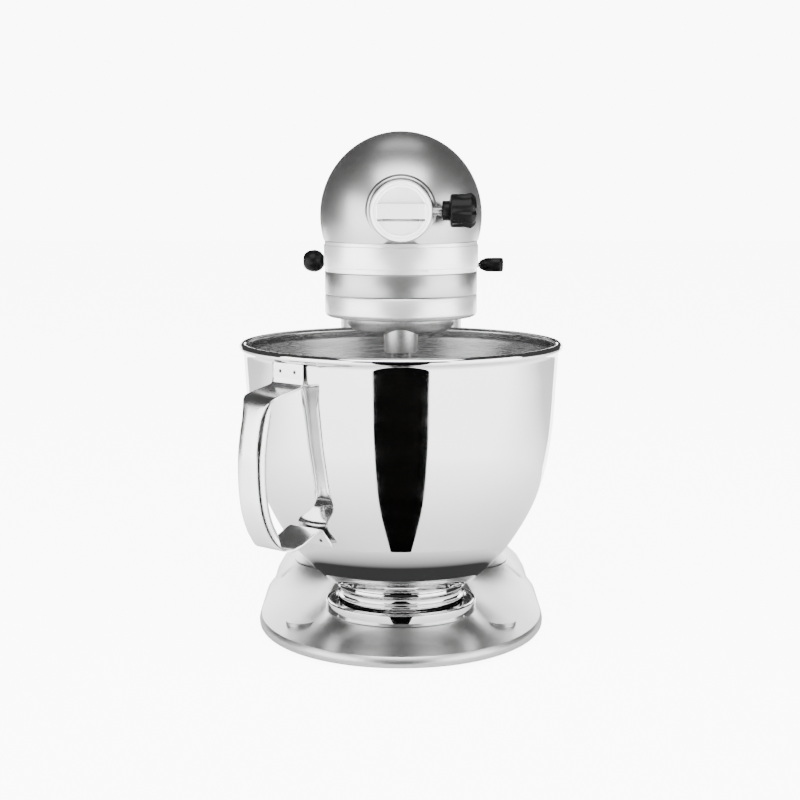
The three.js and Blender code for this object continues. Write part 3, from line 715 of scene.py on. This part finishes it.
def make_column():
    heights = [SEAM + 0.2 + 92 * (i / 26) ** 1.4 for i in range(27)] + [150, 190, 228, 236.5]
    rings = [at_height(column_plan(z), z) for z in heights]
    rings += [at_height(column_plan(z, inset), z) for z, inset in
              ((239.4, 0.7), (240.7, 2.0), (241.1, 3.6))]
    column = skin("pedestal_column_look", rings, [PAINT], 50)
    hollow_heights = (SEAM + 7, 50, 64, 80, 123, 205)
    inside = skin("inside", [at_height(column_plan(z, 6), z) for z in hollow_heights], [PAINT])
    boolean(column, inside, "DIFFERENCE")
    rolled = box_mesh("rolled", -60, 60, HINGE_Y, 260, HINGE_Z, 260, [PAINT])
    barrel = turned("barrel", [(0, -70), (19.5, -70), (19.5, 70), (0, 70)], [PAINT], 96, "X",
                    (0, HINGE_Y, HINGE_Z))
    boolean(rolled, barrel, "DIFFERENCE")
    boolean(column, rolled, "DIFFERENCE")
    slot = box_mesh("slot", -15, 15, 158, 230, 200, 260, [PAINT])
    boolean(column, slot, "DIFFERENCE")
    bore_across(column, 5.3, HINGE_Y, HINGE_Z)
    bore_across(column, 3.8, BOLT_Y, BOLT_Z)
    for number in (1, 2, 3):
        drill(column, f"column_bolt_{number}", ((0, 20), (3.6, 20), (3.6, 60), (0, 60)))
    drill(column, "height_screw", ((0, 190), (3.6, 190), (3.6, 260), (0, 260)))
    smooth(column, 32)
    soften(column, 0.5, 45, 2)
    finish_piece(column, "base", "paint", "pedestal_column")


def make_feet():
    for index in range(1, 6):
        node = f"rubber_foot_{index}"
        profile = [(0, 0), *arc(6.6, 1.0, 1.0, -90, 0, 4), *arc(7.4, 1.6, 0.6, 0, 60, 3), (7.2, 2.2),
                   (0, 2.2)]
        foot = turned(node + "_look", profile, [RUBBER], 48, "Z", (*sides_of(node), 0))
        finish_piece(foot, "base", "rubber", node)


def make_clamp_plate():
    profile = [(0.01, 21.1), (50.6, 21.1), *arc(51.4, 22.0, 0.9, -90, 0, 4),
               *arc(51.0, 28.3, 1.3, 0, 90, 6), *arc(49.6, 28.8, 0.8, 90, 180, 4), (48.8, 23.4), (48.4, 23.0),
               (0.01, 23.0)]
    plate = turned("bowl_clamp_plate_look", profile, [MIRROR], 160)
    finish_piece(plate, "base", "stainless", "bowl_clamp_plate")


# ---- bowl ----------------------------------------------------------------------------------------
def bowl_wall(inset):
    """The bowl's side from the floor up, moved inwards by the inset."""
    points = curve_through(BOWL_SIDE, 12)
    moved = []
    for i, (radius, z) in enumerate(points):
        before = points[max(0, i - 1)]
        after = points[min(len(points) - 1, i + 1)]
        length = math.hypot(after[0] - before[0], after[1] - before[1])
        moved.append((radius - (after[1] - before[1]) / length * inset,
                      z + (after[0] - before[0]) / length * inset))
    return moved


def make_bowl():
    centre = RIM_RADIUS - BEAD
    outside = [(0.01, BOWL_FLOOR), *bowl_wall(0)]
    bead = arc(centre, RIM_Z, BEAD, -62, 178, 18)
    inside = [*reversed(bowl_wall(SHEET)), (0.01, BOWL_FLOOR + SHEET + 0.4)]
    slots = [0] * (len(outside) + len(bead) - 4) + [1] * (len(inside) + 4)
    bowl = turned("bowl_shell_look", outside + bead + inside, [MIRROR, BRUSHED], 256, sharp=50, slots=slots)
    finish_piece(bowl, "bowl", "stainless", "bowl_shell")


def make_bowl_foot():
    profile = [(38.5, 23.4), (43.0, 23.4), (43.5, 24.0), (43.5, 31.6), *arc(42.6, 32.0, 0.9, 0, 80, 4),
               (41.7, 33.6), (41.4, 34.6), (41.4, 37.6), (42.2, 38.6), *arc(43.4, 39.4, 0.6, -60, 60, 4),
               (43.4, 40.9), (34, 41.2), (34, 39.4), (38.2, 38.4), (38.5, 36)]
    foot = turned("bowl_foot_look", profile, [MIRROR], 160, sharp=60)
    finish_piece(foot, "bowl", "stainless", "bowl_foot")


def handle_route():
    """The strap's outer face in the plane through the bowl's axis, as [radius, height]."""
    corners = [(108.9, 202.6), (108.9, 196), (109.0, 191.4), (110.6, 188.9), (119, 187), (129, 184.9),
               (134.4, 183.0), (138, 179), (141.4, 170), (144, 158), (145.6, 144), (145.4, 126),
               (143.2, 110), (138.6, 97), (133, 89), (127, 84.8), (119.6, 83.0), (111.5, 84.4),
               (103.5, 87.8), (95.4, 91.6),
               (92.6, 92.2), (90.8, 91.0), (88.0, 86.4), (84.8, 80.4)]
    return curve_through(corners, 6)


def strap_section(curl):
    """Half-widths and depths across the strap; the edges curl inwards by the share given."""
    half = HANDLE_WIDTH / 2 - 2.8 * curl
    radius = 5.0 * curl + 0.01
    points = [(0.0, 0.0), ((half - radius) * 0.5, 0.0), (half - radius, 0.0)]
    for k in range(1, 7):
        angle = math.radians(150 * curl) * k / 6
        points.append((half - radius + radius * math.sin(angle), radius * (1 - math.cos(angle))))
    if curl < 0.05:
        points = [(half * k / 8, 0.0) for k in range(9)]
    return points


def at_handle(radius, across, height):
    """A point given in the handle's own plane, turned to the handle's place on the bowl."""
    return (radius * math.cos(HANDLE_TURN) - across * math.sin(HANDLE_TURN),
            radius * math.sin(HANDLE_TURN) + across * math.cos(HANDLE_TURN), height)


def strap_loop(share):
    """The strap's section at a share of its length, once round both faces, as (across, depth)."""
    curl = smoothstep(0.24, 0.36, share) * (1 - smoothstep(0.58, 0.7, share))
    flare = 1 + 0.16 * smoothstep(0.93, 1.0, share)
    half = [(w * flare, d) for w, d in strap_section(curl)]
    outer = [(-w, d) for w, d in reversed(half[1:])] + half
    inner = []
    for k, (w, d) in enumerate(outer):
        left = outer[max(0, k - 1)]
        right = outer[min(len(outer) - 1, k + 1)]
        run = math.hypot(right[0] - left[0], right[1] - left[1]) or 1
        inner.append((w - (right[1] - left[1]) / run * HANDLE_THICK,
                      d + (right[0] - left[0]) / run * HANDLE_THICK))
    return outer + list(reversed(inner))


def make_handle():
    route = handle_route()
    rings = []
    for i, (radius, z) in enumerate(route):
        before = route[max(0, i - 1)]
        after = route[min(len(route) - 1, i + 1)]
        length = math.hypot(after[0] - before[0], after[1] - before[1])
        inward = ((after[1] - before[1]) / length, -(after[0] - before[0]) / length)
        section = strap_loop(i / (len(route) - 1))
        rings.append([at_handle(radius + inward[0] * d, w, z + inward[1] * d) for w, d in section])
    handle = skin("bowl_handle_look", rings, [SATIN], 45)
    soften(handle, 0.25, 60, 2)
    finish_piece(handle, "bowl", "stainless", "bowl_handle")


def make_weld_dots():
    """The shallow dimples that the spot welds leave on the handle's plates."""
    places = [(109.0, 197.4, across, 0.0) for across in (-6.5, 6.5)]
    places += [(87.2, 84.4, across, 0.49) for across in (-7.5, 7.5)]
    profile = ((0.01, 0.2), (0.6, 0.18), (1.0, 0.1), (1.25, -0.1), (0.01, -0.1))
    for index, (radius, z, across, tilt) in enumerate(places):
        rings = []
        for reach, lift in profile:
            ring = []
            for k in range(20):
                angle = 2 * math.pi * k / 20
                up = reach * math.sin(angle)
                ring.append(at_handle(radius + lift * math.cos(tilt) + up * math.sin(tilt),
                                      across + reach * math.cos(angle),
                                      z + up * math.cos(tilt) - lift * math.sin(tilt)))
            rings.append(ring)
        finish_piece(skin(f"weld_dimple_{index + 1}", rings, [DIMPLE], 60), "bowl", "stainless")


# ---- head ----------------------------------------------------------------------------------------
def dome_section(radius, centre, steps=56):
    """The head's top in section: an arc that comes down past its widest point."""
    lowest = math.asin(min(0.999, max(0.0, centre - BAND_TOP) / radius))
    reach = min(lowest, 0.95)
    points = []
    for i in range(steps + 1):
        angle = -reach + (math.pi + 2 * reach) * i / steps
        points.append((DOME_NARROW * radius * math.cos(angle), centre + radius * math.sin(angle)))
    return points


def dome(name, inset):
    """The head's whole upper body, rounded at both ends and moved inwards by the inset."""
    along = [0.5 - 0.5 * math.cos(math.pi * k / 44) for k in range(23)]
    along = [k / along[-1] for k in along]
    along[0] = 0.0012
    stations = [(DOME_FRONT + inset + t * (66 - inset), t) for t in along]
    stations += [(HEAD_REAR - inset - t * (70 - inset), t) for t in reversed(along)]
    rings = []
    for y, t in stations:
        size = math.sqrt(1 - (1 - t) ** 2)
        radius = max(0.4, (DOME_RADIUS - inset) * size)
        rings.append([(x, y, z) for x, z in dome_section(radius, DOME_CENTRE - 4 * (1 - size))])
    return skin(name, rings, [PAINT], 60)


def head_ring(name, outer, inner, z0, z1, material):
    """A hoop of the head's plan outline; its faces run up one side and down the other."""
    route = [(outer, z0), (outer, z1), (inner, z1), (inner, z0)]
    rings = [at_height(head_plan(inset), z) for inset, z in route]
    return skin(name, rings, [material], 40, closed=True)


def head_flange():
    """The rolled edge on which the head's top sits over the trim band."""
    steps = ((0.7, 0.1), (0.4, 0.5), (0.4, 2.2), (1.2, 3.0), (9, 4.2))
    return skin("flange", [at_height(head_plan(inset), BAND_TOP + rise) for inset, rise in steps], [PAINT])


def below_band():
    """Everything under the edge of the head's top, to be cut away."""
    return box_mesh("below", -80, 80, -90, 270, 200, BAND_TOP + 0.3, [PAINT])


def make_upper_housing():
    shell = dome("upper_housing_look", 0)
    profile = [(0, 30), (HUB_BOSS + 3, 30), (HUB_BOSS + 3, 53.5),
               *arc(HUB_BOSS + 2.4, 58.4, 2.4, 250, 180, 6), *arc(HUB_BOSS - 1.6, 69.2, 1.6, 0, 90, 6),
               (0, 70.8)]
    boss = turned("boss", [(radius, -y) for radius, y in profile], [PAINT], 128, "Y", (0, 0, HUB_Z))
    boolean(shell, head_flange(), "UNION")
    boolean(shell, boss, "UNION")
    boolean(shell, dome("inner", WALL), "DIFFERENCE")
    boolean(shell, below_band(), "DIFFERENCE")
    socket_profile = [(0, -80), (18.3, -80), (18.3, -20), (0, -20)]
    socket = turned("bore", socket_profile, [PAINT], 96, "Y", (0, 0, HUB_Z))
    boolean(shell, socket, "DIFFERENCE")
    bore_across(shell, 6.4, BRUSH_Y, BRUSH_Z)
    stud = turned("bore", [(0, 10), (3.4, 10), (3.4, 60), (0, 60)], [PAINT], 32, "X", (0, KNOB_Y, HUB_Z))
    boolean(shell, stud, "DIFFERENCE")
    rear = box_mesh("rear", -80, 80, HEAD_REAR - 14, 270, 200, 360, [PAINT])
    boolean(shell, rear, "DIFFERENCE")
    smooth(shell, 30)
    finish_piece(shell, "head", "paint", "upper_housing")


def make_rear_cover():
    cover = dome("rear_cover_look", 0)
    boolean(cover, head_flange(), "UNION")
    cap = turned("cap", [(0, 0), (17, 0), (14.4, 10.6), *arc(12.6, 10.9, 1.2, 10, 90, 5), (6.2, 12.1),
                         (5.6, 9.9), (0, 9.9)], [PAINT], 96, "Y", (0, HEAD_REAR - 8, 303))
    boolean(cover, cap, "UNION")
    boolean(cover, dome("inner", WALL), "DIFFERENCE")
    front = box_mesh("front", -80, 80, -90, HEAD_REAR - 13.7, 200, 360, [PAINT])
    boolean(cover, front, "DIFFERENCE")
    boolean(cover, below_band(), "DIFFERENCE")
    smooth(cover, 30)
    finish_piece(cover, "head", "paint", "rear_cover")


def lever_slots(inner):
    """The openings for the speed lever (right) and the lock lever (left), from a given depth out."""
    return ((inner, 70, LEVER_Y - 24, LEVER_Y + 6, SPEED_Z - 3, SPEED_Z + 3.4),
            (-70, -inner, LEVER_Y - 6, LEVER_Y + 24, LOCK_Z - 3, LOCK_Z + 3))


def make_trim_band():
    band = head_ring("trim_band_look", 0.0, 1.2, BAND_BOTTOM + 0.3, BAND_TOP, TRIM)
    raised = head_ring("raised", -0.6, 0.6, BAND_BOTTOM + 3.6, BAND_TOP - 2.6, TRIM)
    boolean(band, raised, "UNION")
    for x0, x1, y0, y1, z0, z1 in lever_slots(40):
        boolean(band, box_mesh("slot", x0, x1, y0, y1, z0, z1, [TRIM]), "DIFFERENCE")
    soften(band, 0.35, 40, 3)
    finish_piece(band, "head", "bright_trim", "trim_band")


def make_lower_housing():
    inset = 1.5
    route = [(9, LOWER_BOTTOM), (1.0, LOWER_BOTTOM), (0.3, LOWER_BOTTOM + 0.3), (0, LOWER_BOTTOM + 1.0),
             (0, BAND_BOTTOM - 0.6), (0.2, BAND_BOTTOM - 0.15), (0.6, BAND_BOTTOM), (inset, BAND_BOTTOM),
             (inset, BAND_TOP), (5.5, BAND_TOP), (5.5, LOWER_BOTTOM + 5), (9, LOWER_BOTTOM + 5)]
    rings = [at_height(head_plan(i), z) for i, z in route]
    housing = skin("lower_housing_look", rings, [PAINT], 40, closed=True)
    floor_plate = skin("floor_plate", [at_height(head_plan(8), LOWER_BOTTOM),
                                       at_height(head_plan(8), LOWER_BOTTOM + 5)], [PAINT])
    tongue = turned("tongue", [(0, -14), (13, -14), (13, 14), (0, 14)], [PAINT], 96, "X",
                    (0, HINGE_Y, HINGE_Z))
    neck = box_mesh("neck", -14, 14, HINGE_Y - 13, HINGE_Y + 13, HINGE_Z, LOWER_BOTTOM + 2, [PAINT])
    for part in (floor_plate, tongue, neck):
        boolean(housing, part, "UNION")
    bore_across(housing, 5.3, HINGE_Y, HINGE_Z)
    bore_up(housing, 9.2, 200, 262, 0, PAINT)
    lengthways = turned("bore", [(0, 200), (5.3, 200), (5.3, 262), (0, 262)], [PAINT], 48, "Y", (0, 0, 250))
    boolean(housing, lengthways, "DIFFERENCE")
    for x0, x1, y0, y1, z0, z1 in lever_slots(36):
        boolean(housing, box_mesh("slot", x0, x1, y0, y1, z0, z1, [PAINT]), "DIFFERENCE")
    smooth(housing, 32)
    finish_piece(housing, "head", "paint", "lower_housing")


def make_drip_ring():
    profile = [(45.6, 226.9), (46.0, 226.5), (47.2, 226.5), *arc(48.4, 229.9, 3.4, -82, 0, 8), (51.8, 240.8),
               (51.4, 241.4), (46.0, 241.4), (45.6, 241.0)]
    ring = turned("drip_ring_look", profile, [TRIM], 192)
    finish_piece(ring, "head", "bright_trim", "drip_ring")


# ---- hub, cap and knobs --------------------------------------------------------------------------
def make_attachment_hub():
    profile = [(13.0, 30), (18, 30), (18, 71.6), (17.6, 72), (13.4, 72), (13.0, 71.6)]
    hub = turned("attachment_hub_look", [(r, -y) for r, y in profile], [CAST], 128, "Y", (0, 0, HUB_Z))
    stud = turned("bore", [(0, 10), (3.3, 10), (3.3, 30), (0, 30)], [CAST], 32, "X", (0, KNOB_Y, HUB_Z))
    boolean(hub, stud, "DIFFERENCE")
    finish_piece(hub, "head", "cast_metal", "attachment_hub")


def make_hub_cap():
    profile = [(0, 52), (12.2, 52), (12.6, 52.5), (12.6, 72.3), (18.8, 72.3), (19.4, 72.9), (19.4, 74.2),
               *arc(18.5, 74.3, 0.9, 0, 180, 8), (17.3, 73.9), *arc(16.5, 74.1, 0.7, 0, 180, 8),
               (15.6, 73.4), (8, 73.7), (0, 73.8)]
    cap = turned("hub_cap_look", [(r, -y) for r, y in profile], [WHITE_TRIM], 128, "Y", (0, 0, HUB_Z))
    bar = box_mesh("bar", -15.9, 15.9, -76.2, -73, HUB_Z - 4.6, HUB_Z + 4.6, [WHITE_TRIM])
    soften(bar, 0.7, 40, 4)
    boolean(cap, bar, "UNION")
    slot = box_mesh("slot", -15.4, 15.4, -77, -66, HUB_Z - 6.5, HUB_Z - 4.7, [WHITE_TRIM])
    boolean(cap, slot, "DIFFERENCE")
    smooth(cap, 30)
    finish_piece(cap, "cap", "bright_trim", "hub_cap")


def flute_depth(angle, radius, x):
    """How deep the knob's six flutes go: nothing at its foot or in the middle of its face."""
    wave = max(0.0, math.cos(6 * angle)) ** 1.5
    return wave * 1.9 * smoothstep(32.5, 34.5, x) * smoothstep(2, 9, radius)


def make_attachment_knob():
    profile = [(0, 26.6), (5.9, 26.6), (6.4, 27.1), (6.4, 30.9), (7.4, 31.4), (9.0, 31.6),
               *arc(9.4, 33.0, 1.3, -80, 0, 5), (10.7, 41), *arc(6.4, 43.2, 5.2, 16, 90, 10), (0, 48.6)]
    rings = []
    for radius, x in profile:
        ring = []
        for k in range(160):
            angle = 2 * math.pi * k / 160
            reach = max(0.0, radius - flute_depth(angle, radius, x))
            ring.append((x, KNOB_Y + reach * math.cos(angle), HUB_Z + reach * math.sin(angle)))
        rings.append(ring)
    knob = skin("attachment_knob_look", rings, [BLACK], 50)
    finish_piece(knob, "knob", "black_plastic", "attachment_knob")


def make_stud():
    profile = [(0, 13.8)]
    for k in range(24):
        start = 14.0 + k * 0.52
        profile += [(2.65, start), (3.05, start + 0.26)]
    profile += [(2.6, 26.5), (0, 26.5)]
    stud = turned("attachment_knob_stud_look", profile, [PLATED], 48, "X", (0, KNOB_Y, HUB_Z), sharp=20)
    finish_piece(stud, "knob", "steel", "attachment_knob_stud")


def make_speed_knob():
    side = [(0, 57), (2.6, 57), (3.4, 58), (4.9, 61.4), (6.2, 65.5), *arc(4.9, 70.8, 1.9, 20, 70, 5),
            *arc(3.4, 71.4, 2.8, 40, 90, 5), (0, 74.2)]
    knob = turned("speed_lever_knob_look", side, [BLACK], 96, "X", (0, LEVER_Y, SPEED_Z), sharp=50)
    for z0, z1 in ((4.9, 20), (-20, -4.9)):
        flat = box_mesh("flat", 50, 80, LEVER_Y - 12, LEVER_Y + 12, SPEED_Z + z0, SPEED_Z + z1, [BLACK])
        boolean(knob, flat, "DIFFERENCE")
    mouth = box_mesh("mouth", 50, 61, LEVER_Y - 3, LEVER_Y + 3, SPEED_Z - 1.8, SPEED_Z + 1.8, [BLACK])
    boolean(knob, mouth, "DIFFERENCE")
    soften(knob, 0.8, 45, 4)
    finish_piece(knob, "speed_lever", "black_plastic", "speed_lever_knob")


def make_lock_knob():
    side = [(3.6, 56), (4.4, 56.5), (6.6, 58.4), (7.8, 61.2), (8.0, 63.4), (7.4, 66.6), (6.2, 68.9),
            (4.2, 70.5), (2.0, 71)]
    rounded = [(0, 56), *curve_through(side, 5), (0, 71)]
    knob = turned("lock_lever_knob_look", [(r, -x) for r, x in rounded], [BLACK], 96, "X",
                  (0, LEVER_Y, LOCK_Z), sharp=50)
    mouth = box_mesh("mouth", -60.6, -50, LEVER_Y - 3, LEVER_Y + 3, LOCK_Z - 1.8, LOCK_Z + 1.8, [BLACK])
    boolean(knob, mouth, "DIFFERENCE")
    finish_piece(knob, "lock_lever", "black_plastic", "lock_lever_knob")


# ---- planetary -----------------------------------------------------------------------------------
def make_planetary():
    profile = [(0, 216), (27.4, 216), *arc(28.0, 225.2, 9.2, -88, 0, 12), (36.9, 225.5), (0, 225.5)]
    hub = turned("planetary_hub_look", profile, [CAST], 160, sharp=50)
    sleeve_profile = [(0, 204), (10.2, 204), *arc(10.2, 204.8, 0.8, -90, 0, 4), (11.2, 214),
                      (11.2, 225.3), (0, 225.3)]
    sleeve = turned("sleeve", sleeve_profile, [CAST], 96, "Z", (0, BEATER_Y, 0), sharp=50)
    boolean(hub, sleeve, "UNION")
    bore_up(hub, 6.8, 200, 240, BEATER_Y, CAST)
    smooth(hub, 32)
    finish_piece(hub, "planetary", "cast_metal", "planetary_hub")


def make_beater_shaft():
    profile = [(0, 166), (5.4, 166), *arc(5.6, 166.8, 0.8, -90, 0, 4), (6.4, 198), (6.4, 240.6), (0, 240.6)]
    shaft = turned("beater_shaft_look", profile, [PLATED], 64, "Z", (0, BEATER_Y, 0))
    groove = box_mesh("groove", -10, 10, BEATER_Y - 1.1, BEATER_Y + 1.1, 160, 172, [PLATED])
    boolean(shaft, groove, "DIFFERENCE")
    finish_piece(shaft, "beater_drive", "steel", "beater_shaft")


# ---- CAD nodes that stay: their looks ------------------------------------------------------------
SLOT_LOOKS = {"paint": PAINT, "stainless": MIRROR, "bright_trim": TRIM, "cast_metal": CAST, "steel": PLATED,
              "black_plastic": BLACK, "rubber": RUBBER, "bronze": BRONZE, "copper": COPPER}


def dress_cad_nodes():
    """Gives each CAD node the look of its material slot."""
    slots = {row["node"]: row["material_slot"] for row in frame["record"]["subparts"]}
    for node, obj in frame["nodes"].items():
        obj.data.materials.clear()
        obj.data.materials.append(SLOT_LOOKS[slots[node]])


dress_cad_nodes()
make_studio()
for maker in (make_base, make_column, make_feet, make_clamp_plate, make_bowl, make_bowl_foot, make_handle,
              make_weld_dots, make_upper_housing, make_rear_cover, make_trim_band, make_lower_housing,
              make_drip_ring, make_attachment_hub, make_hub_cap, make_attachment_knob, make_stud,
              make_speed_knob, make_lock_knob, make_planetary, make_beater_shaft):
    maker()
